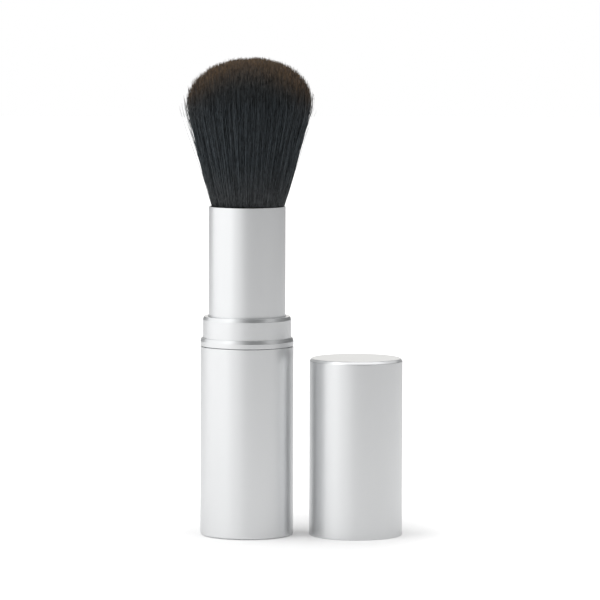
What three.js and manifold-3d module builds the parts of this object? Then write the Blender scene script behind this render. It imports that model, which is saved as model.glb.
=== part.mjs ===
// A twist-up face brush, wound out, with its cap standing beside it on the same surface.
// Lengths are in millimetres and +Z is up.
// The origin is the middle of the barrel's underside. The cap stands at +X.
// Turning the neck against the barrel turns a grooved sleeve, and the grooves draw the
// carrier with its ferrule and hair down along the slots of the guide tube.
import * as THREE from "three";
import { mergeVertices } from "three/addons/utils/BufferGeometryUtils.js";
import Module from "manifold-3d";

const wasm = await Module();
wasm.setup();

// Driving dimensions: the ferrule and what it carries
const ferruleRadius = 10.8;
const ferruleWall = 0.35;
const ferruleLength = 40.5;
const ferruleRimRound = 0.15;
const gluePlugThickness = 3.5;
const backingThickness = 4.5;
const rootDepth = 2.05;
const rootSink = 0.5;
const tuftHeight = 41.8;
const tuftRadius = 17.4;
const domeHeight = 13.25;
const brushTravel = 42;
const twistTurns = 2;

// Driving dimensions: walls from the ferrule outwards
const guideWall = 0.5;
const sleeveNeckWall = 0.5;
const sleeveWall = 1;
const collarWall = 0.35;
const barrelWall = 0.45;

// Driving dimensions: the barrel, the neck and the cap
const barrelFloor = 0.6;
const barrelCorner = 0.6;
const barrelRimRound = 0.2;
const barrelRimRise = 1.05;
const seamGap = 0.25;
const ringHeight = 2.2;
const ringEdgeRound = 0.5;
const collarHeight = 6.05;
const collarEdgeRound = 0.45;
const collarLip = 0.4;
const capHeight = 50.2;
const capWall = 0.3;
const capTop = 0.6;
const capEdgeRound = 1;
const capGap = 4.5;

// Driving dimensions: the mechanism
const lugRadius = 1.2;
const lugEdge = 0.8;
const grooveDepth = 0.55;
const plugHeight = 8;
const plugWall = 1.05;
const beadHeight = 1;
const beadRise = 0.3;
const beadSeat = 0.4;
const stepDrop = 0.6;
const bushHeight = 2.6;
const weightThickness = 2.2;
const weightChamfer = 0.3;
const insertWeb = 0.7;
const insertSkirt = 0.65;
const socketDepth = 1.4;
const linerWall = 1;
const linerTop = 1;
const linerRecess = 0.3;
const linerSkirtRise = 0.6;

// Clearances
const fitClearance = 0.05;
const runClearance = 0.1;
const slideClearance = 0.15;
const endClearance = 0.3;
const lugClearance = 0.3;
const grooveClearance = 0.4;
const slotEndClearance = 0.7;
const stopClearance = 1.4;
const hairClearance = 0.1;
const quarterGap = 0.15;
const cutOverrun = 0.5;

// Counts of facets and of hair strands, and the power that gives the dome its fullness
const roundSides = 48;
const edgeSteps = 4;
const lugSides = 16;
const strandSides = 3;
const strandRings = 10;
const domeFullness = 2.5;
const meetingSteps = 30;

// Shares that shape the hair strands
const firstRingShare = 0.7;
const rootFillShare = 0.36;
const wideFillShare = 0.41;
const widestLengthShare = 0.8;
const tipScatterShare = 0.025;
const goldenShare = 0.618;

// Radii that follow, from the ferrule outwards
const ferruleInner = ferruleRadius - ferruleWall;
const guideInner = ferruleRadius + slideClearance;
const guideOuter = guideInner + guideWall;
const sleeveInner = guideOuter + runClearance;
const grooveRadius = sleeveInner + grooveDepth;
const sleeveNeckOuter = sleeveInner + sleeveNeckWall;
const sleeveOuter = sleeveInner + sleeveWall;
const collarInner = sleeveNeckOuter + fitClearance;
const collarRadius = collarInner + collarWall;
const barrelInner = sleeveOuter + slideClearance;
const barrelRadius = barrelInner + barrelWall;

// Heights that follow, from the floor up, with the brush wound out
const weightBottom = barrelFloor + fitClearance;
const weightTop = weightBottom + weightThickness;
const pocketTop = weightTop + fitClearance;
const socketFloor = pocketTop + insertWeb;
const thrustHeight = socketFloor + socketDepth;
const carrierBottom = thrustHeight + stopClearance + brushTravel;
const lugHeight = carrierBottom + lugEdge + lugRadius;
const flangeTop = lugHeight + lugRadius + lugEdge;
const ferruleBottom = flangeTop + fitClearance;
const ferruleTop = ferruleBottom + ferruleLength;
const barrelTop = ferruleBottom + barrelRimRise;
const ringBottom = barrelTop + seamGap;
const ringTop = ringBottom + ringHeight;
const collarTop = ringTop + collarHeight;
const sleeveBottom = thrustHeight + fitClearance;
const sleeveStep = ringTop - stepDrop;
const sleeveTop = collarTop - collarLip - fitClearance;
const bushBottom = sleeveTop - bushHeight;
const guideTop = bushBottom - endClearance;
const rootFace = ferruleTop - rootDepth;
const backingBottom = rootFace - backingThickness;
const capAxis = 2 * barrelRadius + capGap;

// Materials
function finish(color, metalness, roughness) {
  return new THREE.MeshStandardMaterial({ color, metalness, roughness });
}
const satinMetal = finish(0xcfd0d0, 1, 0.32);
const steel = finish(0x8d9092, 1, 0.4);
const blackPlastic = finish(0x1d1e20, 0, 0.5);
const whitePlastic = finish(0xe6e6e2, 0, 0.55);
const greyPlastic = finish(0x9a9da0, 0, 0.5);
const amberGlue = finish(0xb79a63, 0, 0.4);
const charcoalHair = finish(0x26292c, 0, 0.7);

// Points of a quarter round about [radius, height], from one angle to another in degrees
function quarterRound(radius, height, size, fromDegrees, toDegrees) {
  const points = [];
  for (let step = 0; step <= edgeSteps; step++) {
    const degrees = fromDegrees + ((toDegrees - fromDegrees) * step) / edgeSteps;
    const angle = THREE.MathUtils.degToRad(degrees);
    points.push([radius + size * Math.cos(angle), height + size * Math.sin(angle)]);
  }
  return points;
}

// A solid of revolution about Z. The outline runs anticlockwise in [radius, height] and
// either starts and ends on the axis or closes on itself.
function turned(outline) {
  const points = outline.map(([radius, height]) => new THREE.Vector2(radius, height));
  if (outline[0][0] > 0) points.push(points[0].clone());
  return new THREE.LatheGeometry(points, roundSides).rotateX(Math.PI / 2);
}

// A plain ring between two radii and two heights
function ring(inner, outer, bottom, top) {
  return turned([
    [inner, bottom],
    [outer, bottom],
    [outer, top],
    [inner, top],
  ]);
}

function block(width, depth, bottom, top) {
  const height = top - bottom;
  return new THREE.BoxGeometry(width, depth, height).translate(0, 0, bottom + height / 2);
}

// Closed surface through cross-sections of equal count, which run clockwise as seen from
// the end they lead to. The last section may be a single point.
function loft(sections) {
  const triangles = [];
  const count = sections[0].length;
  for (let corner = 1; corner < count - 1; corner++) {
    triangles.push(sections[0][0], sections[0][corner], sections[0][corner + 1]);
  }
  for (let level = 1; level < sections.length; level++) {
    const near = sections[level - 1];
    const far = sections[level];
    for (let corner = 0; corner < count; corner++) {
      const next = (corner + 1) % count;
      if (far.length === 1) {
        triangles.push(near[corner], far[0], near[next]);
      } else {
        triangles.push(near[corner], far[corner], far[next]);
        triangles.push(near[corner], far[next], near[next]);
      }
    }
  }
  const last = sections[sections.length - 1];
  for (let corner = 1; corner < last.length - 1; corner++) {
    triangles.push(last[0], last[corner + 1], last[corner]);
  }
  return new THREE.BufferGeometry().setFromPoints(triangles);
}

// From a three.js geometry to a solid that can be joined and cut, and back
function toSolid(geometry) {
  const bare = geometry.clone();
  bare.deleteAttribute("normal");
  bare.deleteAttribute("uv");
  const merged = mergeVertices(bare);
  return new wasm.Manifold(
    new wasm.Mesh({
      numProp: 3,
      vertProperties: new Float32Array(merged.attributes.position.array),
      triVerts: new Uint32Array(merged.index.array),
    }),
  );
}

function toGeometry(solid) {
  const mesh = solid.getMesh();
  const geometry = new THREE.BufferGeometry();
  geometry.setAttribute("position", new THREE.BufferAttribute(mesh.vertProperties, 3));
  geometry.setIndex(new THREE.BufferAttribute(mesh.triVerts, 1));
  geometry.computeVertexNormals();
  return geometry;
}

// The barrel: a drawn cup, its weight and the insert that holds the guide tube
function barrelShell() {
  const rimFlat = barrelRadius - barrelRimRound;
  return turned([
    [0, 0],
    ...quarterRound(barrelRadius - barrelCorner, barrelCorner, barrelCorner, -90, 0),
    ...quarterRound(rimFlat, barrelTop - barrelRimRound, barrelRimRound, 0, 90),
    [barrelInner, barrelTop],
    [barrelInner, barrelFloor],
    [0, barrelFloor],
  ]);
}

const insertRadius = barrelInner - fitClearance;
const pocketRadius = insertRadius - insertSkirt;

function baseWeight() {
  const radius = pocketRadius - fitClearance;
  return turned([
    [0, weightBottom],
    [radius - weightChamfer, weightBottom],
    [radius, weightBottom + weightChamfer],
    [radius, weightTop - weightChamfer],
    [radius - weightChamfer, weightTop],
    [0, weightTop],
  ]);
}

const slotWidth = 2 * (lugRadius + lugClearance);

// The socket is a ring groove with two keys left standing, which fill the tube's slots.
function baseInsert() {
  const body = toSolid(
    turned([
      [0, pocketTop],
      [pocketRadius, pocketTop],
      [pocketRadius, weightBottom],
      [insertRadius, weightBottom],
      [insertRadius, thrustHeight],
      [0, thrustHeight],
    ]),
  );
  const socketInner = guideInner - fitClearance;
  const socketOuter = guideOuter + fitClearance;
  const top = thrustHeight + cutOverrun;
  const keyWidth = slotWidth - 2 * fitClearance;
  const keys = block(keyWidth, 2 * barrelRadius, socketFloor - cutOverrun, top + cutOverrun);
  const groove = toSolid(ring(socketInner, socketOuter, socketFloor, top));
  return toGeometry(body.subtract(groove.subtract(toSolid(keys))));
}

// The guide tube: two slots for the carrier's lugs, open at the foot, and a snap bead
const beadBottom = ringBottom + beadSeat;
const beadRadius = guideOuter + beadRise;

function guideTube() {
  const foot = socketFloor + fitClearance;
  const tube = toSolid(
    turned([
      [guideInner, foot],
      [guideOuter, foot],
      [guideOuter, beadBottom],
      [beadRadius, beadBottom],
      [beadRadius, beadBottom + beadHeight / 2],
      [guideOuter, beadBottom + beadHeight],
      [guideOuter, guideTop],
      [guideInner, guideTop],
    ]),
  );
  const slotTop = lugHeight + lugRadius + slotEndClearance;
  const slots = block(slotWidth, 2 * barrelRadius, foot - cutOverrun, slotTop);
  return toGeometry(tube.subtract(toSolid(slots)));
}

// One helical groove. It starts one facet ahead of the lug's rest place, falls by the
// brush's travel over the turns of the twist and ends one facet past the last place.
function helixCutter(startDegrees) {
  const facet = (2 * Math.PI) / roundSides;
  const lead = brushTravel / twistTurns;
  const halfWidth = lugRadius + grooveClearance;
  const inner = sleeveInner - cutOverrun;
  const start = THREE.MathUtils.degToRad(startDegrees);
  const sections = [];
  for (let step = -1; step <= twistTurns * roundSides + 1; step++) {
    const angle = start + step * facet;
    const height = lugHeight - (lead * step) / roundSides;
    const corner = (radius, rise) =>
      new THREE.Vector3(radius * Math.cos(angle), radius * Math.sin(angle), height + rise);
    sections.push([
      corner(inner, -halfWidth),
      corner(grooveRadius, -halfWidth),
      corner(grooveRadius, halfWidth),
      corner(inner, halfWidth),
    ]);
  }
  return toSolid(loft(sections));
}

// The neck: a grooved sleeve that turns on the insert, dressed by a ring and a collar
function spiralSleeve() {
  const recessRadius = beadRadius + runClearance;
  const recessBottom = beadBottom - slideClearance;
  const recessTop = beadBottom + beadHeight + slideClearance;
  const sleeve = toSolid(
    turned([
      [sleeveInner, sleeveBottom],
      [sleeveOuter, sleeveBottom],
      [sleeveOuter, sleeveStep],
      [sleeveNeckOuter, sleeveStep],
      [sleeveNeckOuter, sleeveTop],
      [sleeveInner, sleeveTop],
      [sleeveInner, recessTop],
      [recessRadius, recessTop],
      [recessRadius, recessBottom],
      [sleeveInner, recessBottom],
    ]),
  );
  return toGeometry(sleeve.subtract(helixCutter(90)).subtract(helixCutter(-90)));
}

function neckBush() {
  return ring(guideInner, sleeveInner - fitClearance, bushBottom, sleeveTop);
}

function neckRing() {
  const inner = sleeveOuter + fitClearance;
  const round = Math.min(ringEdgeRound, barrelRadius - inner - fitClearance);
  const foot = barrelRadius - barrelRimRound;
  return turned([
    [inner, ringBottom],
    ...quarterRound(foot, ringBottom + barrelRimRound, barrelRimRound, -90, 0),
    ...quarterRound(barrelRadius - round, ringTop - round, round, 0, 90),
    [inner, ringTop],
  ]);
}

function neckCollar() {
  const lipInner = guideInner + runClearance;
  const edge = collarRadius - collarEdgeRound;
  const bottom = sleeveStep + fitClearance;
  const lipBottom = collarTop - collarLip;
  return turned([
    [collarInner, bottom],
    [collarRadius, bottom],
    ...quarterRound(edge, collarTop - collarEdgeRound, collarEdgeRound, 0, 90),
    [lipInner, collarTop],
    [lipInner, lipBottom],
    [collarInner, lipBottom],
  ]);
}

// The brush: a carrier with two lugs, the ferrule on it, and the glued hair
function carrier() {
  const plugRadius = ferruleInner - fitClearance;
  const plugInner = plugRadius - plugWall;
  const plugTop = flangeTop + plugHeight;
  const plug = toSolid(
    turned([
      [0, carrierBottom],
      [ferruleRadius, carrierBottom],
      [ferruleRadius, flangeTop],
      [plugRadius, flangeTop],
      [plugRadius, plugTop],
      [plugInner, plugTop],
      [plugInner, flangeTop],
      [0, flangeTop],
    ]),
  );
  const lugReach = grooveRadius - slideClearance;
  const lugs = new THREE.CylinderGeometry(lugRadius, lugRadius, 2 * lugReach, lugSides);
  return toGeometry(plug.add(toSolid(lugs.translate(0, 0, lugHeight))));
}

function ferruleTube() {
  const rimMiddle = ferruleTop - ferruleRimRound;
  return turned([
    [ferruleInner, ferruleBottom],
    [ferruleRadius, ferruleBottom],
    ...quarterRound(ferruleRadius - ferruleRimRound, rimMiddle, ferruleRimRound, 0, 90),
    [ferruleInner, ferruleTop],
  ]);
}

function gluePlug() {
  const radius = ferruleInner - fitClearance;
  const top = backingBottom - fitClearance;
  return turned([
    [0, top - gluePlugThickness],
    [radius, top - gluePlugThickness],
    [radius, top],
    [0, top],
  ]);
}

// Every strand lies on a ray from one point far below the root, so none meet. The rays'
// spread is straight from the ferrule's mouth to the dome's middle, where it is widest.
const domeMiddle = ferruleTop + tuftHeight - domeHeight;
const mouthSpread = ferruleInner - hairClearance;
const spreadSlope = (tuftRadius - mouthSpread) / (domeMiddle - ferruleTop);
const ringSpan = strandRings - 1 + firstRingShare;

function spreadAt(height) {
  return tuftRadius + spreadSlope * (height - domeMiddle);
}

// How far outside the dome a ray with this share of the spread is at a height. The dome is
// full: powers of its radius and height shares add up to one, as squares do on an ellipse.
function outsideDome(share, height) {
  const radiusShare = (share * spreadAt(height)) / tuftRadius;
  const heightShare = (height - domeMiddle) / domeHeight;
  return radiusShare ** domeFullness + heightShare ** domeFullness - 1;
}

// Height at which the ray leaves the dome, found by halving
function domeMeeting(share) {
  let low = domeMiddle;
  let high = domeMiddle + domeHeight;
  for (let step = 0; step < meetingSteps; step++) {
    const middle = (low + high) / 2;
    if (outsideDome(share, middle) > 0) high = middle;
    else low = middle;
  }
  return low;
}

function strand(share, azimuth, tipScatter) {
  const bottom = rootFace - rootSink;
  const length = domeMeeting(share) - bottom;
  const tipHeight = bottom + length * (1 - tipScatter);
  const section = (height, fillShare) => {
    const reach = (share * spreadAt(height) * (ringSpan - fillShare)) / ringSpan;
    const size = (fillShare * spreadAt(height)) / ringSpan;
    const middle = new THREE.Vector3(reach * Math.cos(azimuth), reach * Math.sin(azimuth), height);
    if (fillShare === 0) return [middle];
    return Array.from({ length: strandSides }, (_, corner) => {
      const turn = azimuth - (2 * Math.PI * corner) / strandSides;
      return new THREE.Vector3(size * Math.cos(turn), size * Math.sin(turn), 0).add(middle);
    });
  };
  return loft([
    section(bottom, rootFillShare),
    section(bottom + length * widestLengthShare, wideFillShare),
    section(tipHeight, 0),
  ]);
}

// A quarter of the glued slice with its strands, which stand in rings about a step apart
function bristleQuarter(turns) {
  const quarter = Math.PI / 2;
  const radius = ferruleInner - hairClearance;
  const side = 2 * radius;
  const slice = toSolid(ring(0, radius, backingBottom, rootFace));
  const wedge = block(side, side, backingBottom - cutOverrun, rootFace + cutOverrun);
  wedge.translate(radius + quarterGap / 2, radius + quarterGap / 2, 0);
  const solids = [slice.intersect(toSolid(wedge))];
  for (let row = 0; row < strandRings; row++) {
    const steps = row + firstRingShare;
    const count = Math.round(steps * quarter);
    for (let place = 0; place < count; place++) {
      const azimuth = ((place + 0.5) / count) * quarter;
      const tipScatter = tipScatterShare * (((solids.length - 1) * goldenShare) % 1);
      solids.push(toSolid(strand(steps / ringSpan, azimuth, tipScatter)));
    }
  }
  return toGeometry(wasm.Manifold.union(solids)).rotateZ(turns * quarter);
}

// The cap, mouth down: a drawn shell and the liner that grips the collar
const capInner = barrelRadius - capWall;

function capShell() {
  const mouth = barrelRadius - barrelRimRound;
  const edge = barrelRadius - capEdgeRound;
  return turned([
    [capInner, 0],
    ...quarterRound(mouth, barrelRimRound, barrelRimRound, -90, 0),
    ...quarterRound(edge, capHeight - capEdgeRound, capEdgeRound, 0, 90),
    [0, capHeight],
    [0, capHeight - capTop],
    [capInner, capHeight - capTop],
  ]);
}

function capLiner() {
  const outer = capInner - fitClearance;
  const top = capHeight - capTop - fitClearance;
  const skirtInner = collarRadius + fitClearance;
  const skirtTop = linerRecess + collarHeight + linerSkirtRise;
  const inner = outer - linerWall;
  return turned([
    [skirtInner, linerRecess],
    [outer, linerRecess],
    [outer, top],
    [0, top],
    [0, top - linerTop],
    [inner, top - linerTop],
    [inner, skirtTop],
    [skirtInner, skirtTop],
  ]);
}

function piece(name, geometry, material) {
  const mesh = new THREE.Mesh(geometry, material);
  mesh.name = name;
  return mesh;
}

const barrel = new THREE.Group();
barrel.add(piece("barrel_shell", barrelShell(), satinMetal));
barrel.add(piece("base_weight", baseWeight(), steel));
barrel.add(piece("base_insert", baseInsert(), greyPlastic));
barrel.add(piece("guide_tube", guideTube(), whitePlastic));

const neck = new THREE.Group();
neck.add(piece("spiral_sleeve", spiralSleeve(), greyPlastic));
neck.add(piece("neck_ring", neckRing(), satinMetal));
neck.add(piece("neck_collar", neckCollar(), satinMetal));
neck.add(piece("neck_bush", neckBush(), blackPlastic));

const brush = new THREE.Group();
brush.add(piece("carrier", carrier(), blackPlastic));
brush.add(piece("ferrule_tube", ferruleTube(), satinMetal));
brush.add(piece("glue_plug", gluePlug(), amberGlue));
for (let turns = 0; turns < 4; turns++) {
  brush.add(piece(`bristles_${turns + 1}`, bristleQuarter(turns), charcoalHair));
}

const cap = new THREE.Group();
cap.position.x = capAxis;
cap.add(piece("cap_shell", capShell(), satinMetal));
cap.add(piece("cap_liner", capLiner(), whitePlastic));

const faceBrush = new THREE.Group();
faceBrush.add(barrel, neck, brush, cap);
export default faceBrush;
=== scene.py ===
import math

import bpy
import numpy as np
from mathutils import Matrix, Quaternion, Vector


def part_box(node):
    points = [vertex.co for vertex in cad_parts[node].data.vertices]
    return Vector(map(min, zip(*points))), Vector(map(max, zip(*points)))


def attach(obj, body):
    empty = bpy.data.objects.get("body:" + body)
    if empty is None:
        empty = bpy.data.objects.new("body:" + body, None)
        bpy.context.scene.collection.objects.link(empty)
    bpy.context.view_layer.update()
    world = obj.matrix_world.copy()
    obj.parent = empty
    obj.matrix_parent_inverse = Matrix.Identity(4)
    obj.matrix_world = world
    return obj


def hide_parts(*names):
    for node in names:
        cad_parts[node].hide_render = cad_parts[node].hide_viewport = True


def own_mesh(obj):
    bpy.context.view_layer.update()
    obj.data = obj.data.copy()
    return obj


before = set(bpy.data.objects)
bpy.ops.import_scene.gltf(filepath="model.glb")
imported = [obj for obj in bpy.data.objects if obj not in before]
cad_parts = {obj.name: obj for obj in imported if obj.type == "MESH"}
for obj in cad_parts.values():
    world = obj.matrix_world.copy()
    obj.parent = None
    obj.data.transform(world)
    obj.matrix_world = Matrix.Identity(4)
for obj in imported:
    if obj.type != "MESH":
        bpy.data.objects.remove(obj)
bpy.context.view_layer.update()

mm = 0.001  # lengths below are in millimetres, as on the drawing
print("frame loaded")


# Camera, in front of the brush and its cap, looking slightly down. The lens and sensor are
# in millimetres too, and only the clipping distances are in metres.
cameraSettings = {
    "aim": (14.92, 0.0, 66.5),
    "distance": 1180.0,
    "pitchDegrees": 4.75,
    "rollDegrees": 0.16,
    "lens": 251.1,
    "sensor": 36.0,
    "clip": (0.05, 50.0),
}


def makeCamera(settings):
    data = bpy.data.cameras.new("camera")
    camera = bpy.data.objects.new("camera", data)
    bpy.context.scene.collection.objects.link(camera)
    pitch = math.radians(settings["pitchDegrees"])
    back = Vector((0.0, -math.cos(pitch), math.sin(pitch)))
    camera.location = (Vector(settings["aim"]) + back * settings["distance"]) * mm
    roll = Quaternion(back, math.radians(settings["rollDegrees"]))
    camera.rotation_euler = (roll @ (-back).to_track_quat("-Z", "Y")).to_euler()
    data.lens = settings["lens"]
    data.sensor_width = settings["sensor"]
    data.clip_start, data.clip_end = settings["clip"]
    bpy.context.scene.camera = camera


makeCamera(cameraSettings)
print("camera set")


# Mesh from arrays: points in millimetres, faces as lists of equal length
def meshPiece(name, points, faceSets, smooth=True):
    mesh = bpy.data.meshes.new(name)
    points = np.asarray(points, np.float32) * mm
    mesh.vertices.add(len(points))
    mesh.vertices.foreach_set("co", points.ravel())
    corners = np.concatenate([np.asarray(faces, np.int32).ravel() for faces in faceSets])
    sizes = np.concatenate([np.full(len(faces), faces.shape[1], np.int32) for faces in faceSets])
    mesh.loops.add(len(corners))
    mesh.loops.foreach_set("vertex_index", corners)
    mesh.polygons.add(len(sizes))
    starts = np.concatenate([[0], np.cumsum(sizes)[:-1]]).astype(np.int32)
    mesh.polygons.foreach_set("loop_start", starts)
    mesh.polygons.foreach_set("use_smooth", np.full(len(sizes), smooth, bool))
    mesh.update(calc_edges=True)
    mesh.validate()
    piece = bpy.data.objects.new(name, mesh)
    bpy.context.scene.collection.objects.link(piece)
    return piece


# Outline with rounded corners. Each corner is (radius, height, rounding). A rounding r cuts
# both straight runs at r times the tangent of half the turn, and the arc between follows the
# circle of radius r that touches both. A short hold on each run keeps flats flat in shading.
def roundedOutline(corners, closed, arcSteps=8, hold=0.04):
    places = np.array([corner[:2] for corner in corners], float)
    count = len(corners)
    outline = []
    for index, (radius, height, rounding) in enumerate(corners):
        here = places[index]
        isEnd = not closed and index in (0, count - 1)
        if isEnd or rounding <= 0:
            outline.append([here])
            continue
        before = places[index - 1] - here
        after = places[(index + 1) % count] - here
        before /= np.linalg.norm(before)
        after /= np.linalg.norm(after)
        turn = math.pi - math.acos(np.clip(before @ after, -1, 1))
        cut = rounding * math.tan(turn / 2)
        middle = before + after
        middle *= rounding / math.cos(turn / 2) / np.linalg.norm(middle)
        centre = here + middle
        first = here + before * cut - centre
        last = here + after * cut - centre
        share = np.linspace(0, 1, arcSteps + 1)[:, None]
        arc = (np.sin((1 - share) * turn) * first + np.sin(share * turn) * last) / math.sin(turn)
        holdIn = here + before * (cut + hold)
        holdOut = here + after * (cut + hold)
        outline.append(np.vstack([holdIn, arc + centre, holdOut]))
    return np.vstack(outline)


# Surface of revolution: an outline point (r, z) becomes (r cos a, r sin a, z) at each angle a.
# An outline that starts or ends on the axis gets one shared point there.
def turnedPiece(name, outline, centre=(0.0, 0.0), sides=144):
    outline = np.asarray(outline, float)
    onAxis = np.isclose(outline[:, 0], 0)
    closed = not onAxis.any()
    rings = outline[~onAxis]
    angle = np.arange(sides) * 2 * math.pi / sides
    points = np.empty((len(rings), sides, 3))
    points[:, :, 0] = rings[:, :1] * np.cos(angle) + centre[0]
    points[:, :, 1] = rings[:, :1] * np.sin(angle) + centre[1]
    points[:, :, 2] = rings[:, 1:]
    points = points.reshape(-1, 3)
    ringCount = len(rings)
    lower = np.arange(ringCount if closed else ringCount - 1)
    upper = (lower + 1) % ringCount
    column = np.arange(sides)
    nextColumn = (column + 1) % sides
    quads = np.stack(
        [
            lower[:, None] * sides + column,
            lower[:, None] * sides + nextColumn,
            upper[:, None] * sides + nextColumn,
            upper[:, None] * sides + column,
        ],
        axis=-1,
    ).reshape(-1, 4)
    faceSets = [quads]
    if not closed:
        firstPole = len(points)
        poles = [[centre[0], centre[1], outline[0, 1]], [centre[0], centre[1], outline[-1, 1]]]
        points = np.vstack([points, poles])
        top = (ringCount - 1) * sides
        startFan = np.stack([np.full(sides, firstPole), nextColumn, column], axis=-1)
        endFan = np.stack([np.full(sides, firstPole + 1), top + column, top + nextColumn], axis=-1)
        faceSets += [startFan, endFan]
    return meshPiece(name, points, faceSets)


# Shader node helpers
def addNode(tree, kind, inputs=None, **settings):
    node = tree.nodes.new(kind)
    for key, value in settings.items():
        setattr(node, key, value)
    for key, value in (inputs or {}).items():
        if isinstance(value, bpy.types.NodeSocket):
            tree.links.new(value, node.inputs[key])
        else:
            node.inputs[key].default_value = value
    return node


def newGroup(name, inputs, outputs):
    tree = bpy.data.node_groups.new(name, "ShaderNodeTree")
    for label, kind, value in inputs:
        socket = tree.interface.new_socket(label, in_out="INPUT", socket_type=kind)
        if value is not None:
            socket.default_value = value
    for label, kind in outputs:
        tree.interface.new_socket(label, in_out="OUTPUT", socket_type=kind)
    return tree, tree.nodes.new("NodeGroupInput"), tree.nodes.new("NodeGroupOutput")


# A mix of two tones by a share. A tone is three numbers, or the socket of another node.
def mixedTone(tree, share, first, second):
    mix = addNode(tree, "ShaderNodeMix", data_type="RGBA")
    tree.links.new(share, mix.inputs["Factor"])
    for socket, tone in ((mix.inputs[6], first), (mix.inputs[7], second)):
        if isinstance(tone, bpy.types.NodeSocket):
            tree.links.new(tone, socket)
        else:
            socket.default_value = (*tone, 1)
    return mix.outputs[2]


grainSettings = {
    "grainDetail": 2.0, "grainRoughness": 0.6,
    "patchDetail": 3.0, "patchRoughness": 0.5,
    "patchRange": (0.3, 0.7),  # the values that nearly all patches lie between
    "bumpDepth": 0.02,
}


# Fine grain: two noises of the given scales per metre, one for the tiny dimples of a blasted
# or moulded surface and one for slow unevenness, both about a middle of one half.
def makeGrainGroup(settings):
    tree, source, target = newGroup(
        "surfaceGrain",
        [
            ("Vector", "NodeSocketVector", None),
            ("Grain Scale", "NodeSocketFloat", 5000.0),
            ("Patch Scale", "NodeSocketFloat", 120.0),
        ],
        [("Grain", "NodeSocketFloat"), ("Patch", "NodeSocketFloat")],
    )
    for label, kind in (("Grain", "grain"), ("Patch", "patch")):
        noise = addNode(
            tree,
            "ShaderNodeTexNoise",
            {
                "Vector": source.outputs["Vector"],
                "Scale": source.outputs[f"{label} Scale"],
                "Detail": settings[f"{kind}Detail"],
                "Roughness": settings[f"{kind}Roughness"],
            },
        )
        tree.links.new(noise.outputs["Fac"], target.inputs[label])
    return tree


grainGroup = makeGrainGroup(grainSettings)


def newMaterial(name):
    material = bpy.data.materials.new(name)
    material.use_nodes = True
    tree = material.node_tree
    return material, tree, tree.nodes["Principled BSDF"]


# A surface with grain: tone and roughness drift with the slow patches, and the fine grain
# lifts the normal by a few thousandths of a millimetre.
def grainedMaterial(name, settings):
    material, tree, shader = newMaterial(name)
    place = addNode(tree, "ShaderNodeTexCoord").outputs["Object"]
    stretch = addNode(tree, "ShaderNodeMapping", {"Vector": place, "Scale": settings["stretch"]})
    grain = addNode(
        tree,
        "ShaderNodeGroup",
        {
            "Vector": stretch.outputs["Vector"],
            "Grain Scale": settings["grainScale"],
            "Patch Scale": settings["patchScale"],
        },
        node_tree=grainGroup,
    )
    patch = grain.outputs["Patch"]
    tone = mixedTone(tree, patch, settings["darkTone"], settings["paleTone"])
    tree.links.new(tone, shader.inputs["Base Color"])
    fromLow, fromHigh = grainSettings["patchRange"]
    low, high = settings["roughness"]
    rough = addNode(
        tree,
        "ShaderNodeMapRange",
        {
            "Value": patch,
            "From Min": fromLow, "From Max": fromHigh,
            "To Min": low, "To Max": high,
        },
    )
    tree.links.new(rough.outputs["Result"], shader.inputs["Roughness"])
    bump = addNode(
        tree,
        "ShaderNodeBump",
        {
            "Height": grain.outputs["Grain"],
            "Strength": settings["bump"],
            "Distance": grainSettings["bumpDepth"] * mm,
        },
    )
    tree.links.new(bump.outputs["Normal"], shader.inputs["Normal"])
    shader.inputs["Metallic"].default_value = settings["metallic"]
    shader.inputs["Specular IOR Level"].default_value = settings["specular"]
    return material


satinAluminium = grainedMaterial("satinAluminium", {
    "darkTone": (0.825, 0.833, 0.84), "paleTone": (0.85, 0.858, 0.863),
    "roughness": (0.345, 0.37), "metallic": 1.0, "specular": 0.5,
    "stretch": (1, 1, 1), "grainScale": 7000.0, "patchScale": 60.0, "bump": 0.05,
})
rolledSteel = grainedMaterial("rolledSteel", {
    "darkTone": (0.42, 0.43, 0.44), "paleTone": (0.60, 0.61, 0.62),
    "roughness": (0.28, 0.45), "metallic": 1.0, "specular": 0.5,
    "stretch": (1, 14, 1), "grainScale": 900.0, "patchScale": 150.0, "bump": 0.4,
})
amberGlue = grainedMaterial("amberGlue", {
    "darkTone": (0.30, 0.19, 0.07), "paleTone": (0.46, 0.31, 0.13),
    "roughness": (0.15, 0.35), "metallic": 0.0, "specular": 0.5,
    "stretch": (1, 1, 1), "grainScale": 1500.0, "patchScale": 400.0, "bump": 0.5,
})
mouldedPlastic = {  # what the three plastics have in common
    "metallic": 0.0, "specular": 0.5,
    "stretch": (1, 1, 1), "grainScale": 4000.0, "patchScale": 200.0, "bump": 0.3,
}
greyPlastic = grainedMaterial("greyPlastic", {
    **mouldedPlastic,
    "darkTone": (0.50, 0.51, 0.53), "paleTone": (0.58, 0.59, 0.61), "roughness": (0.42, 0.55),
})
whitePlastic = grainedMaterial("whitePlastic", {
    **mouldedPlastic,
    "darkTone": (0.78, 0.78, 0.75), "paleTone": (0.84, 0.84, 0.81), "roughness": (0.40, 0.52),
})
blackPlastic = grainedMaterial("blackPlastic", {
    **mouldedPlastic,
    "darkTone": (0.012, 0.012, 0.013), "paleTone": (0.022, 0.022, 0.024),
    "roughness": (0.38, 0.52),
})
print("case materials made")


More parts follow.
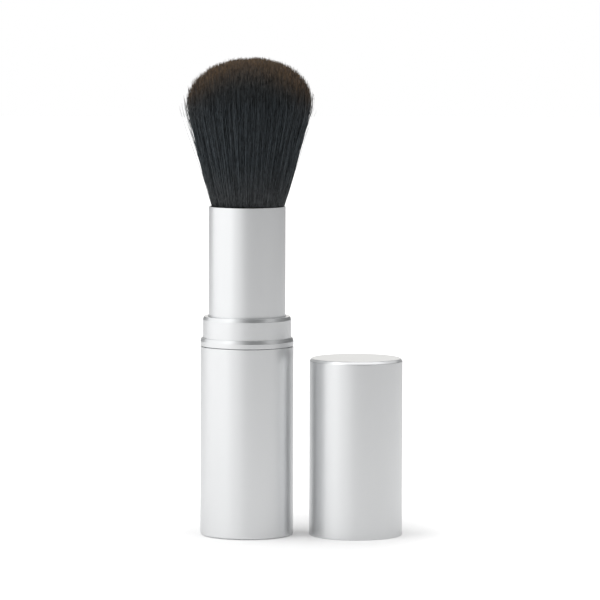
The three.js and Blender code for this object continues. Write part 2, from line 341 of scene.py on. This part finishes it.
# Hair: charcoal at the root, blue-black along the strand, deeper and brown at the tip, the brown
# partly the tips' own and partly painted light shining through them at the dome's rim; each strand
# a little lighter or darker than its neighbours, with fine painted glints along it.
hairSettings = {
    "rootTone": (0.059, 0.062, 0.064),
    "bodyTone": (0.037, 0.045, 0.051),
    "deepTone": (0.026, 0.029, 0.030),
    "brownTipAndRimLightTone": (0.120, 0.070, 0.031),
    "bodyFrom": 0.42, "bodyTo": 0.9,        # shares of the strand that have the body's tone
    "darkest": 0.2, "lightest": 2.55,       # what the tone is multiplied by
    "glintMiddle": 0.5, "below": 0.35, "above": 1.0,  # the tones at which these are reached
    "glintScale": (3800.0, 3800.0, 420.0), "glintDetail": 2.0,
    "glintShare": 2.1,
    "roughness": 0.5, "specular": 0.25,
}


def makeHairMaterial(settings):
    material, tree, shader = newMaterial("charcoalHair")
    along, tone, brownAndRimLight = [
        addNode(tree, "ShaderNodeAttribute", attribute_name=label).outputs["Fac"]
        for label in ("alongShare", "toneShare", "brownAndRimLightShare")
    ]
    ramp = addNode(tree, "ShaderNodeValToRGB", {"Fac": along})
    stops = ramp.color_ramp.elements
    stops[0].position, stops[0].color = 0.0, (*settings["rootTone"], 1)
    stops[1].position, stops[1].color = settings["bodyFrom"], (*settings["bodyTone"], 1)
    stops.new(settings["bodyTo"]).color = (*settings["bodyTone"], 1)
    stops.new(1.0).color = (*settings["deepTone"], 1)
    # brown at the tips: partly their own colour, partly painted light shining through them at the
    # dome's rim
    tipped = mixedTone(tree, brownAndRimLight, ramp.outputs["Color"], settings["brownTipAndRimLightTone"])
    # painted glints: a noise lightens and darkens the colour in short spots along the strands, in
    # place of their highlights
    place = addNode(tree, "ShaderNodeTexCoord").outputs["Object"]
    glints = addNode(tree, "ShaderNodeMapping", {"Vector": place, "Scale": settings["glintScale"]})
    glint = addNode(
        tree,
        "ShaderNodeTexNoise",
        {"Vector": glints.outputs["Vector"], "Scale": 1.0, "Detail": settings["glintDetail"]},
    )
    varied = addNode(tree, "ShaderNodeMath", operation="MULTIPLY_ADD")
    tree.links.new(glint.outputs["Fac"], varied.inputs[0])
    varied.inputs[1].default_value = settings["glintShare"]
    tree.links.new(tone, varied.inputs[2])
    middle = settings["glintShare"] * settings["glintMiddle"]
    gain = addNode(
        tree,
        "ShaderNodeMapRange",
        {
            "Value": varied.outputs[0],
            "From Min": middle - settings["below"],
            "From Max": middle + settings["above"],
            "To Min": settings["darkest"],
            "To Max": settings["lightest"],
        },
    )
    colour = addNode(tree, "ShaderNodeVectorMath", operation="SCALE")
    tree.links.new(tipped, colour.inputs[0])
    tree.links.new(gain.outputs["Result"], colour.inputs["Scale"])
    tree.links.new(colour.outputs["Vector"], shader.inputs["Base Color"])
    shader.inputs["Roughness"].default_value = settings["roughness"]
    shader.inputs["Specular IOR Level"].default_value = settings["specular"]
    return material


charcoalHair = makeHairMaterial(hairSettings)
print("hair material made")


def dress(piece, material):
    piece.data.materials.append(material)


def boxOf(node):
    low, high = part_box(node)
    return np.array(low) / mm, np.array(high) / mm


# The case: each shell is turned again finely on the outline of its solid, as a closed outline
# of corners with their roundings. Walls and edges are measured in millimetres.
barrelSettings = {
    "wall": 0.45,
    "floor": 0.6,
    "footRound": 0.7,
    "rimRound": 0.2, "rimInnerRound": 0.08,
    "floorRound": 0.1,
}


def makeBarrel(settings):
    low, high = boxOf("barrel_shell")
    radius, top = high[0], high[2]
    inner = radius - settings["wall"]
    floor = settings["floor"]
    outline = roundedOutline([
        (0, low[2], 0),
        (radius, low[2], settings["footRound"]),
        (radius, top, settings["rimRound"]),
        (inner, top, settings["rimInnerRound"]),
        (inner, floor, settings["floorRound"]),
        (0, floor, 0),
    ], closed=False)
    piece = turnedPiece("barrelCase", outline)
    dress(piece, satinAluminium)
    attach(piece, "barrel")
    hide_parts("barrel_shell")


ringSettings = {
    "inner": 12.6,
    "seamFill": 0.1,            # how far it reaches down into the running seam
    "bevel": (0.27, 0.95),      # width and height of the slope round its top
    "bevelRounds": (0.6, 0.04),  # at the slope's foot and head
    "footRound": 0.2, "footInnerRound": 0.05,
    "topInnerRound": 0.02,
    "hold": 0.01,
}


def makeRing(settings):
    low, high = boxOf("neck_ring")
    radius, inner, top = high[0], settings["inner"], high[2]
    foot = low[2] - settings["seamFill"]
    width, height = settings["bevel"]
    bevelFoot, bevelHead = settings["bevelRounds"]
    outline = roundedOutline([
        (inner, foot, settings["footInnerRound"]),
        (radius, foot, settings["footRound"]),
        (radius, top - height, bevelFoot),
        (radius - width, top, bevelHead),
        (inner, top, settings["topInnerRound"]),
    ], closed=True, hold=settings["hold"])
    ring = turnedPiece("neckRing", outline)
    dress(ring, satinAluminium)
    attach(ring, "neck")
    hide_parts("neck_ring")


collarSettings = {
    "inner": 12.1,
    "lipInner": 11.05, "lip": 0.4,
    "bevel": (0.27, 0.95),
    "bevelRounds": (0.6, 0.04),
    "lipRound": 0.1,
    "edgeRound": 0.05,
    "hold": 0.02,
}


def makeCollar(settings):
    low, high = boxOf("neck_collar")
    radius, inner, top = high[0], settings["inner"], high[2]
    width, height = settings["bevel"]
    bevelFoot, bevelHead = settings["bevelRounds"]
    lipInner, lipBottom = settings["lipInner"], top - settings["lip"]
    edgeRound = settings["edgeRound"]
    outline = roundedOutline([
        (inner, low[2], edgeRound),
        (radius, low[2], edgeRound),
        (radius, top - height, bevelFoot),
        (radius - width, top, bevelHead),
        (lipInner, top, settings["lipRound"]),
        (lipInner, lipBottom, edgeRound),
        (inner, lipBottom, edgeRound),
    ], closed=True, hold=settings["hold"])
    collar = turnedPiece("neckCollar", outline)
    dress(collar, satinAluminium)
    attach(collar, "neck")
    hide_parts("neck_collar")


ferruleSettings = {
    "wall": 0.35,
    "footRound": 0.1, "footInnerRound": 0.05,
    "rimRound": 0.15,
    "hold": 0.02,
}


def makeFerrule(settings):
    low, high = boxOf("ferrule_tube")
    radius, inner = high[0], high[0] - settings["wall"]
    outline = roundedOutline([
        (inner, low[2], settings["footInnerRound"]),
        (radius, low[2], settings["footRound"]),
        (radius, high[2], settings["rimRound"]),
        (inner, high[2], settings["rimRound"]),
    ], closed=True, hold=settings["hold"])
    piece = turnedPiece("ferruleTube", outline)
    dress(piece, satinAluminium)
    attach(piece, "brush")
    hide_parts("ferrule_tube")


capSettings = {
    "wall": 0.3,
    "top": 0.6,
    "bevel": (0.6, 0.75),
    "bevelRounds": (0.4, 0.45),
    "footRound": 0.2, "footInnerRound": 0.05,
    "roofRound": 0.1,
    "hold": 0.03,
}


def makeCap(settings):
    low, high = boxOf("cap_shell")
    centre = ((low[0] + high[0]) / 2, 0.0)
    radius, top = (high[0] - low[0]) / 2, high[2]
    inner = radius - settings["wall"]
    roof = top - settings["top"]
    width, height = settings["bevel"]
    bevelFoot, bevelHead = settings["bevelRounds"]
    outline = roundedOutline([
        (0, roof, 0),
        (inner, roof, settings["roofRound"]),
        (inner, low[2], settings["footInnerRound"]),
        (radius, low[2], settings["footRound"]),
        (radius, top - height, bevelFoot),
        (radius - width, top, bevelHead),
        (0, top, 0),
    ], closed=False, hold=settings["hold"])
    shell = turnedPiece("capShell", outline, centre)
    dress(shell, satinAluminium)
    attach(shell, "cap")
    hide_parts("cap_shell")


linerSettings = {
    "wall": 1.0,
    "top": 1.0,
    "skirtInner": 12.5, "skirtTop": 6.95,  # the wider mouth that slides over the collar
    "roofRound": 0.5,
    "stepRound": 0.15,
    "skirtRound": 0.1,
    "footRound": 0.08,
    "topRound": 0.3,
    "hold": 0.03,
}


def makeLiner(settings):
    low, high = boxOf("cap_liner")
    centre = ((low[0] + high[0]) / 2, 0.0)
    outer, top = (high[0] - low[0]) / 2, high[2]
    inner = outer - settings["wall"]
    skirtInner, skirtTop = settings["skirtInner"], settings["skirtTop"]
    roof = top - settings["top"]
    outline = roundedOutline([
        (0, roof, 0),
        (inner, roof, settings["roofRound"]),
        (inner, skirtTop, settings["stepRound"]),
        (skirtInner, skirtTop, settings["skirtRound"]),
        (skirtInner, low[2], settings["footRound"]),
        (outer, low[2], settings["footRound"]),
        (outer, top, settings["topRound"]),
        (0, top, 0),
    ], closed=False, hold=settings["hold"])
    liner = turnedPiece("capLiner", outline, centre)
    dress(liner, whitePlastic)
    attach(liner, "cap")
    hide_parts("cap_liner")


makeBarrel(barrelSettings)
makeRing(ringSettings)
makeCollar(collarSettings)
makeFerrule(ferruleSettings)
makeCap(capSettings)
makeLiner(linerSettings)
print("case turned")


# The inner pieces keep their solids and get their own finishes
innerFinishes = {
    "base_weight": rolledSteel,
    "base_insert": greyPlastic,
    "guide_tube": whitePlastic,
    "spiral_sleeve": greyPlastic,
    "neck_bush": blackPlastic,
    "carrier": blackPlastic,
    "glue_plug": amberGlue,
}
for nodeName, material in innerFinishes.items():
    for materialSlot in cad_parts[nodeName].material_slots:
        materialSlot.link = "OBJECT"
        materialSlot.material = material
print("inner pieces finished")


# The tuft: thousands of tapered strands, cut into sectors
tuftSettings = {
    # the shape that the strands fill
    "mouthRadius": 10.33,      # spread of the hair at the ferrule's rim
    "domeRadius": 17.12,       # widest spread
    "bendHeight": 119.6,       # where the outer strands reach it and stand upright
    "domeMiddle": 124.0,       # height from which the dome closes in
    "domeHeight": 11.25,       # from there to the top
    "domeFullness": 2.05,      # 2 would be an ellipse, more is squarer
    "domeTilt": 0.03,          # rise of the tips towards +X
    "halvings": 24,
    "lean": (0.25, 0.2),       # sideways, at the mouth and what the tips add
    "rootDepth": 1.2,          # how far the strands start below the rim
    # how many, and where they stand
    "sectors": 16,
    "strandsPerSector": 2000,
    "straysPerSector": 6,
    "clumpsPerSector": 130,
    "strandReach": 0.985,      # share of the spread that the outermost strand reaches
    "strayPlace": (0.97, 0.02),  # share from which the strays start, and its scatter
    "clumpStart": 0.1,         # share of the section round the axis without clumps
    "clumpPull": 0.17, "clumpPower": 1.3,
    "clumpFrom": (0.2, 0.3),   # share from which clumps draw, and over which that grows
    # one strand
    "strandRadius": 0.068,
    "strandSizes": (0.75, 0.5),  # the least size and its scatter
    "straySize": 0.6,
    "levels": (0.0, 0.15, 0.3, 0.45, 0.6, 0.75, 0.88, 0.965, 1.0),
    "thickness": (0.85, 0.95, 1.0, 1.0, 1.0, 0.95, 0.86, 0.7, 0.4),
    "looseness": (0.8, 0.8, 3),  # at the axis, what the outside adds, and its power
    "tipScatter": 2.2, "tipPower": 0.6,
    "clumpScatter": 0.5,
    "bow": 0.25,
    "sway": 0.35,
    "wave": 0.15, "waves": 1.6, "wavePower": 0.5,
    "strayDrop": 9.0,          # how much shorter a stray may be
    "strayReach": 2.2, "strayReaches": (0.4, 0.6), "strayPower": 1.5,
    # colour
    "brownLevels": (0.0, 0.0, 0.0, 0.0, 0.0, 0.03, 0.2, 0.55, 1.0),
    "brownRimLightHeight": (126.5, 134.0),  # tips at these heights are dark, and brown with painted rim light
    "brownRimLightDrop": 9.0,          # how much lower the brown and its painted rim light start at the two sides
    "brownPower": 1.5,
    "brownShares": (0.3, 0.7),  # the least share and its scatter
    "toneScatter": 0.5, "clumpTone": 0.04, "strayTone": 0.5,
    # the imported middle
    "coreShare": 0.74,
    "coreDrop": 3.0,           # how far below the dome's middle its own dome starts
    "coreDome": 0.7,           # height of its dome as a share of the tuft's
    "coreTone": 0.5,           # place along the strand whose colour it takes
    "coreSteps": (12, 14), "coreSides": 72,
    "drawnInKeep": 0.76,       # share of the free spread left when drawn into the collar
    "seed": 11,
}


# Spread of the tuft at a height: straight from the ferrule's mouth to the bend, then upright
def spreadAt(height, settings, rim):
    slope = (settings["domeRadius"] - settings["mouthRadius"]) / (settings["bendHeight"] - rim)
    return settings["domeRadius"] + slope * np.minimum(height - settings["bendHeight"], 0)


# Height at which the ray with this share of the spread leaves the dome. On the dome the
# powers of the radius share and of the height share add up to one; found by halving.
def domeMeeting(share, settings, rim):
    low = np.full(share.shape, settings["domeMiddle"])
    high = low + settings["domeHeight"]
    power = settings["domeFullness"]
    for halving in range(settings["halvings"]):
        middle = (low + high) / 2
        radiusShare = share * spreadAt(middle, settings, rim) / settings["domeRadius"]
        heightShare = (middle - settings["domeMiddle"]) / settings["domeHeight"]
        outside = radiusShare ** power + heightShare ** power > 1
        high = np.where(outside, middle, high)
        low = np.where(outside, low, middle)
    return low


# Where the strands of a sector stand: each has an azimuth in the sector and a share of the
# spread whose square is even over the section, so the strands are evenly packed.
def standStrands(index, settings, random):
    strands, strays = settings["strandsPerSector"], settings["straysPerSector"]
    width = 2 * math.pi / settings["sectors"]
    azimuth = (index + random.random(strands + strays)) * width
    share = np.sqrt(random.random(strands + strays)) * settings["strandReach"]
    start, scatter = settings["strayPlace"]
    share[strands:] = start + scatter * random.random(strays)
    return np.stack([np.cos(azimuth), np.sin(azimuth)], axis=1), share


# The way from each strand to the middle of the clump nearest to it, in shares of the spread,
# and the number of that clump. Near the axis the clumps don't draw.
def drawClumps(index, outward, share, settings, random):
    clumps = settings["clumpsPerSector"]
    width = 2 * math.pi / settings["sectors"]
    azimuth = (index + random.random(clumps)) * width
    start = settings["clumpStart"]
    reach = np.sqrt(random.random(clumps) * (1 - start) + start)
    middles = np.stack([np.cos(azimuth), np.sin(azimuth)], axis=1) * reach[:, None]
    apart = outward[:, None, :] * share[:, None, None] - middles[None, :, :]
    clump = np.argmin((apart ** 2).sum(axis=2), axis=1)
    drawn = middles[clump] - outward * share[:, None]
    drawStart, drawWidth = settings["clumpFrom"]
    drawn *= np.clip((share - drawStart) / drawWidth, 0, 1)[:, None]
    drawn[settings["strandsPerSector"]:] = 0
    return drawn, clump


# Faces of strands with three corners at each level: quads between the levels, and a triangle
# at each end.
def strandFaces(count, levels):
    corner = np.arange(3)
    following = (corner + 1) % 3
    first = np.arange(count)[:, None, None] * levels * 3
    level = np.arange(levels - 1)[None, :, None] * 3
    quads = np.stack(
        [
            first + level + corner,
            first + level + following,
            first + level + 3 + following,
            first + level + 3 + corner,
        ],
        axis=-1,
    ).reshape(-1, 4)
    footFaces = first[:, 0] + corner[::-1]
    tipFaces = first[:, 0] + (levels - 1) * 3 + corner
    return [quads, footFaces, tipFaces]


# One sector of strands. A strand's centre at height z is its share of the spread at z along
# its azimuth, drawn towards the middle of its clump by a pull that grows with s, plus a bow
# that rises and falls as 4 s (1 - s), a sway that grows as s squared and a slight wave, a
# sine of s with its own start, s running from root to tip. A stray leans out further, and
# the outer hair is less even. Three corners stand round the centre at each level.
# The brown grows with the height of the tip, which counts as higher at the left and right: partly
# the tips' own brown, partly painted light shining through the tips at the dome's rim.
def makeSector(index, settings, rim, random):
    strays = settings["straysPerSector"]
    count = settings["strandsPerSector"] + strays
    stray = np.arange(count) >= settings["strandsPerSector"]
    outward, share = standStrands(index, settings, random)
    drawn, clump = drawClumps(index, outward, share, settings, random)

    root = rim - settings["rootDepth"]
    tip = domeMeeting(share, settings, rim)
    tip += settings["domeTilt"] * outward[:, 0] * share * settings["domeRadius"]
    least, more, power = settings["looseness"]
    looser = least + more * share ** power
    tip -= settings["tipScatter"] * looser * random.random(count) ** settings["tipPower"]
    tip -= settings["clumpScatter"] * random.random(settings["clumpsPerSector"])[clump]
    tip[stray] -= settings["strayDrop"] * random.random(strays) ** 2

    along = np.array(settings["levels"])
    height = root + (tip - root)[:, None] * along
    spread = spreadAt(height, settings, rim)
    pull = settings["clumpPull"] * along ** settings["clumpPower"]
    bow = random.normal(size=(count, 2, 1)) * settings["bow"] * (4 * along * (1 - along))
    sway = random.normal(size=(count, 2, 1)) * settings["sway"] * along ** 2
    sway *= looser[:, None, None]
    start = random.random((count, 2, 1))
    wave = np.sin(2 * math.pi * (settings["waves"] * along + start))
    wave *= settings["wave"] * along ** settings["wavePower"]
    centre = outward[:, :, None] * share[:, None, None] * spread[:, None, :]
    centre += drawn[:, :, None] * (spread * pull)[:, None, :] + bow + sway + wave
    least, more = settings["strayReaches"]
    reach = settings["strayReach"] * (least + more * random.random(count)) * stray
    centre += outward[:, :, None] * reach[:, None, None] * along ** settings["strayPower"]
    atMouth, atTips = settings["lean"]
    centre[:, 0, :] += atMouth + atTips * along

    turn = random.random(count)[:, None] * 2 * math.pi + np.arange(3) * 2 * math.pi / 3
    least, more = settings["strandSizes"]
    size = settings["strandRadius"] * (least + more * random.random(count))
    size[stray] *= settings["straySize"]
    size = size[:, None] * np.array(settings["thickness"])
    points = np.empty((count, len(along), 3, 3))
    points[..., 0] = centre[:, 0, :, None] + size[:, :, None] * np.cos(turn)[:, None, :]
    points[..., 1] = centre[:, 1, :, None] + size[:, :, None] * np.sin(turn)[:, None, :]
    points[..., 2] = height[:, :, None]
    name = f"hairSector{index + 1:02d}"
    piece = meshPiece(name, points.reshape(-1, 3), strandFaces(count, len(along)))

    tone = settings["toneScatter"] * random.random(count) ** 2
    tone += settings["clumpTone"] * random.random(settings["clumpsPerSector"])[clump] ** 2
    tone[stray] = settings["strayTone"]
    # painted rim light: the brown grows with the tip's height, and more at the left and right
    low, high = settings["brownRimLightHeight"]
    reached = tip + settings["brownRimLightDrop"] * outward[:, 0] ** 2 * share
    brownAndRimLight = np.clip((reached - low) / (high - low), 0, 1) ** settings["brownPower"]
    least, more = settings["brownShares"]
    brownAndRimLight *= least + more * random.random(count)
    brownAndRimLight = brownAndRimLight[:, None] * np.array(settings["brownLevels"])
    everywhere = (count, len(along), 3)
    writeShares(piece, {
        "alongShare": np.broadcast_to(along[None, :, None], everywhere),
        "toneShare": np.broadcast_to(tone[:, None, None], everywhere),
        "brownAndRimLightShare": np.broadcast_to(brownAndRimLight[:, :, None], everywhere),
    })
    return piece


# The shares that the hair's colour reads, one number for each vertex
def writeShares(piece, values):
    for label, value in values.items():
        attribute = piece.data.attributes.new(label, "FLOAT", "POINT")
        attribute.data.foreach_set("value", np.ascontiguousarray(value, np.float32).ravel())


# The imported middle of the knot: a closed core inside the strands, dark as the depth between.
# Its side follows the spread, and a quarter of an ellipse closes it at the top.
def makeCore(settings, rim):
    share = settings["coreShare"]
    sideSteps, domeSteps = settings["coreSteps"]
    root = rim - settings["rootDepth"]
    middle = settings["domeMiddle"] - settings["coreDrop"]
    height = np.linspace(root, middle, sideSteps)
    side = np.stack([spreadAt(height, settings, rim) * share, height], axis=1)
    turn = np.linspace(0, math.pi / 2, domeSteps)[1:]
    domeHeight = settings["domeHeight"] * settings["coreDome"]
    dome = np.stack([side[-1, 0] * np.cos(turn), middle + domeHeight * np.sin(turn)], axis=1)
    dome[-1, 0] = 0
    outline = np.vstack([[[0, root]], side, dome])
    core = turnedPiece("hairCore", outline, sides=settings["coreSides"])
    flat = np.zeros(len(core.data.vertices))
    tone = settings["coreTone"]
    writeShares(core, {"alongShare": flat + tone, "toneShare": flat, "brownAndRimLightShare": flat})
    return core


def makeTuft(settings):
    rim = boxOf("ferrule_tube")[1][2]
    random = np.random.default_rng(settings["seed"])
    perQuarter = settings["sectors"] // 4
    for index in range(settings["sectors"]):
        piece = makeSector(index, settings, rim, random)
        dress(piece, charcoalHair)
        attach(piece, "brush")
        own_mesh(piece)
        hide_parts(f"bristles_{index // perQuarter + 1}")
    core = makeCore(settings, rim)
    dress(core, charcoalHair)
    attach(core, "brush")
    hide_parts("bristles_1", "bristles_2", "bristles_3", "bristles_4")


makeTuft(tuftSettings)
print("tuft made")


# Studio: a white floor that keeps the contact shadow, and soft lamps that stand round the
# brush. Lengths are in metres here, and a lamp's turn is counted in degrees from the
# camera's side, left of it below zero.
studioSettings = {
    "floorSize": 6.0,
    "floorTone": 0.82,
    "floorRoughness": 0.9, "floorSpecular": 0.1,
    "floorGlow": (0.13, 0.75),       # beside the object, where the low glow paints shade, and further away
    "paintedShadeReach": (0.03, 0.11),
    "paintedShadeStretch": 1.4,         # the painted shaded patch is shorter from side to side
    "floorGlossyShare": 0.04,        # share of that glow that metal shows
    "plainLight": 0.46,
    "glossyLight": (0.21, 0.11),     # the grey that metal shows, from the left to the right
    "backdropMiddle": (0.0, 0.93, 0.37),  # from the brush to the middle of the white backdrop
    "backdropEdge": (0.86, 0.975),   # cosines from there: where it ends, and where it is full
    "studioTint": (0.965, 0.985, 1.0),
    "backdropTint": (1.0, 0.985, 0.96),
    "lamps": {
        "topLamp": {
            "turn": 0, "distance": 0.12, "rise": 1.0,
            "width": 2.0, "height": 1.05, "light": 1.08,
        },
        "keyLamp": {
            "turn": -84, "distance": 0.75, "rise": 0.45,
            "width": 1.5, "height": 1.3, "light": 0.88,
        },
        "frontLeftLamp": {
            "turn": -32, "distance": 0.95, "rise": 0.3,
            "width": 0.72, "height": 0.8, "light": 0.5,
        },
        "rightLamp": {
            "turn": 95, "distance": 0.95, "rise": 0.66,
            "width": 1.7, "height": 0.4, "light": 0.78,
        },
    },
    "aimHeight": 0.07,
}


# The larger of a strength and each of the two kinds of ray that show the white background
def shownWhite(tree, path, strength):
    for ray in ("Is Camera Ray", "Is Transmission Ray"):
        larger = addNode(tree, "ShaderNodeMath", operation="MAXIMUM")
        tree.links.new(strength, larger.inputs[0])
        tree.links.new(path.outputs[ray], larger.inputs[1])
        strength = larger.outputs[0]
    return strength


# The floor glows white further away and little beside the object, so its shadow stays, and the low
# glow there also paints a shaded patch round the middle of the scene. The glow follows the
# distance from the middle of the scene, and soft surfaces don't receive it.
def makeFloor(settings):
    half = settings["floorSize"] / 2 / mm
    points = np.array([[-half, -half, 0], [half, -half, 0], [half, half, 0], [-half, half, 0]])
    floor = meshPiece("floor", points, [np.array([[0, 1, 2, 3]])], smooth=False)
    material, tree, shader = newMaterial("paleFloor")
    tone = settings["floorTone"]
    shader.inputs["Base Color"].default_value = (tone, tone, tone, 1)
    shader.inputs["Roughness"].default_value = settings["floorRoughness"]
    shader.inputs["Specular IOR Level"].default_value = settings["floorSpecular"]
    shader.inputs["Emission Color"].default_value = (1, 1, 1, 1)
    path = addNode(tree, "ShaderNodeLightPath")
    glossy = addNode(
        tree,
        "ShaderNodeMapRange",
        {"Value": path.outputs["Is Glossy Ray"], "To Max": settings["floorGlossyShare"]},
    )
    seen = shownWhite(tree, path, glossy.outputs["Result"])
    place = addNode(tree, "ShaderNodeTexCoord").outputs["Object"]
    stretch = settings["paintedShadeStretch"]
    middle = cameraSettings["aim"][0] * mm
    centred = addNode(
        tree,
        "ShaderNodeMapping",
        {"Vector": place, "Scale": (stretch, 1, 1), "Location": (-middle * stretch, 0, 0)},
    )
    away = addNode(tree, "ShaderNodeVectorMath", operation="LENGTH")
    tree.links.new(centred.outputs["Vector"], away.inputs[0])
    # painted shade: the glow stays low near the middle of the scene and rises to full beyond the
    # reach
    near, far = settings["paintedShadeReach"]
    low, high = settings["floorGlow"]
    glow = addNode(
        tree,
        "ShaderNodeMapRange",
        {
            "Value": away.outputs["Value"],
            "From Min": near, "From Max": far,
            "To Min": low, "To Max": high,
        },
        interpolation_type="SMOOTHSTEP",
    )
    seenGlow = addNode(tree, "ShaderNodeMath", operation="MULTIPLY")
    tree.links.new(seen, seenGlow.inputs[0])
    tree.links.new(glow.outputs["Result"], seenGlow.inputs[1])
    tree.links.new(seenGlow.outputs[0], shader.inputs["Emission Strength"])
    material.cycles.emission_sampling = "NONE"
    floor.data.materials.append(material)


# The world is white to the camera and through glass. Metal shows the white backdrop behind
# the brush, a plain studio grey elsewhere, and soft surfaces see one even light.
def makeWorld(settings):
    world = bpy.data.worlds.new("studio")
    bpy.context.scene.world = world
    world.use_nodes = True
    world.cycles.sampling_method = "NONE"
    tree = world.node_tree
    path = addNode(tree, "ShaderNodeLightPath")
    direction = addNode(tree, "ShaderNodeTexCoord").outputs["Generated"]
    sideways = addNode(tree, "ShaderNodeSeparateXYZ", {"Vector": direction}).outputs["X"]
    left, right = settings["glossyLight"]
    grey = addNode(
        tree,
        "ShaderNodeMapRange",
        {"Value": sideways, "From Min": -1.0, "To Min": left, "To Max": right},
    ).outputs["Result"]
    behind = addNode(tree, "ShaderNodeVectorMath", operation="DOT_PRODUCT")
    tree.links.new(direction, behind.inputs[0])
    behind.inputs[1].default_value = settings["backdropMiddle"]
    edge, full = settings["backdropEdge"]
    backdrop = addNode(
        tree,
        "ShaderNodeMapRange",
        {"Value": behind.outputs["Value"], "From Min": edge, "From Max": full},
        interpolation_type="SMOOTHSTEP",
    ).outputs["Result"]
    inMetal = addNode(tree, "ShaderNodeMapRange", {"Value": backdrop, "To Min": grey})
    strength = addNode(
        tree,
        "ShaderNodeMapRange",
        {
            "Value": path.outputs["Is Glossy Ray"],
            "To Min": settings["plainLight"],
            "To Max": inMetal.outputs["Result"],
        },
    )
    metalTint = mixedTone(tree, backdrop, settings["studioTint"], settings["backdropTint"])
    tint = mixedTone(tree, path.outputs["Is Glossy Ray"], (1, 1, 1), metalTint)
    background = tree.nodes["Background"]
    tree.links.new(tint, background.inputs["Color"])
    white = shownWhite(tree, path, strength.outputs["Result"])
    tree.links.new(white, background.inputs["Strength"])


# A lamp stands round the brush at its turn and rise, and faces the point above the middle.
# Its power is its brightness times pi times its area.
def makeLamp(name, lamp, aimHeight):
    data = bpy.data.lights.new(name, "AREA")
    data.shape = "RECTANGLE"
    data.size = lamp["width"]
    data.size_y = lamp["height"]
    data.energy = lamp["light"] * math.pi * lamp["width"] * lamp["height"]
    lampObject = bpy.data.objects.new(name, data)
    bpy.context.scene.collection.objects.link(lampObject)
    turn = math.radians(lamp["turn"])
    place = Vector((math.sin(turn), -math.cos(turn), 0)) * lamp["distance"]
    place.z = lamp["rise"]
    lampObject.location = place
    direction = Vector((0, 0, aimHeight)) - place
    lampObject.rotation_euler = direction.to_track_quat("-Z", "Y").to_euler()


def makeStudio(settings):
    makeFloor(settings)
    makeWorld(settings)
    for name, lamp in settings["lamps"].items():
        makeLamp(name, lamp, settings["aimHeight"])


makeStudio(studioSettings)
bpy.context.scene.view_settings.view_transform = "Standard"
print("studio set")
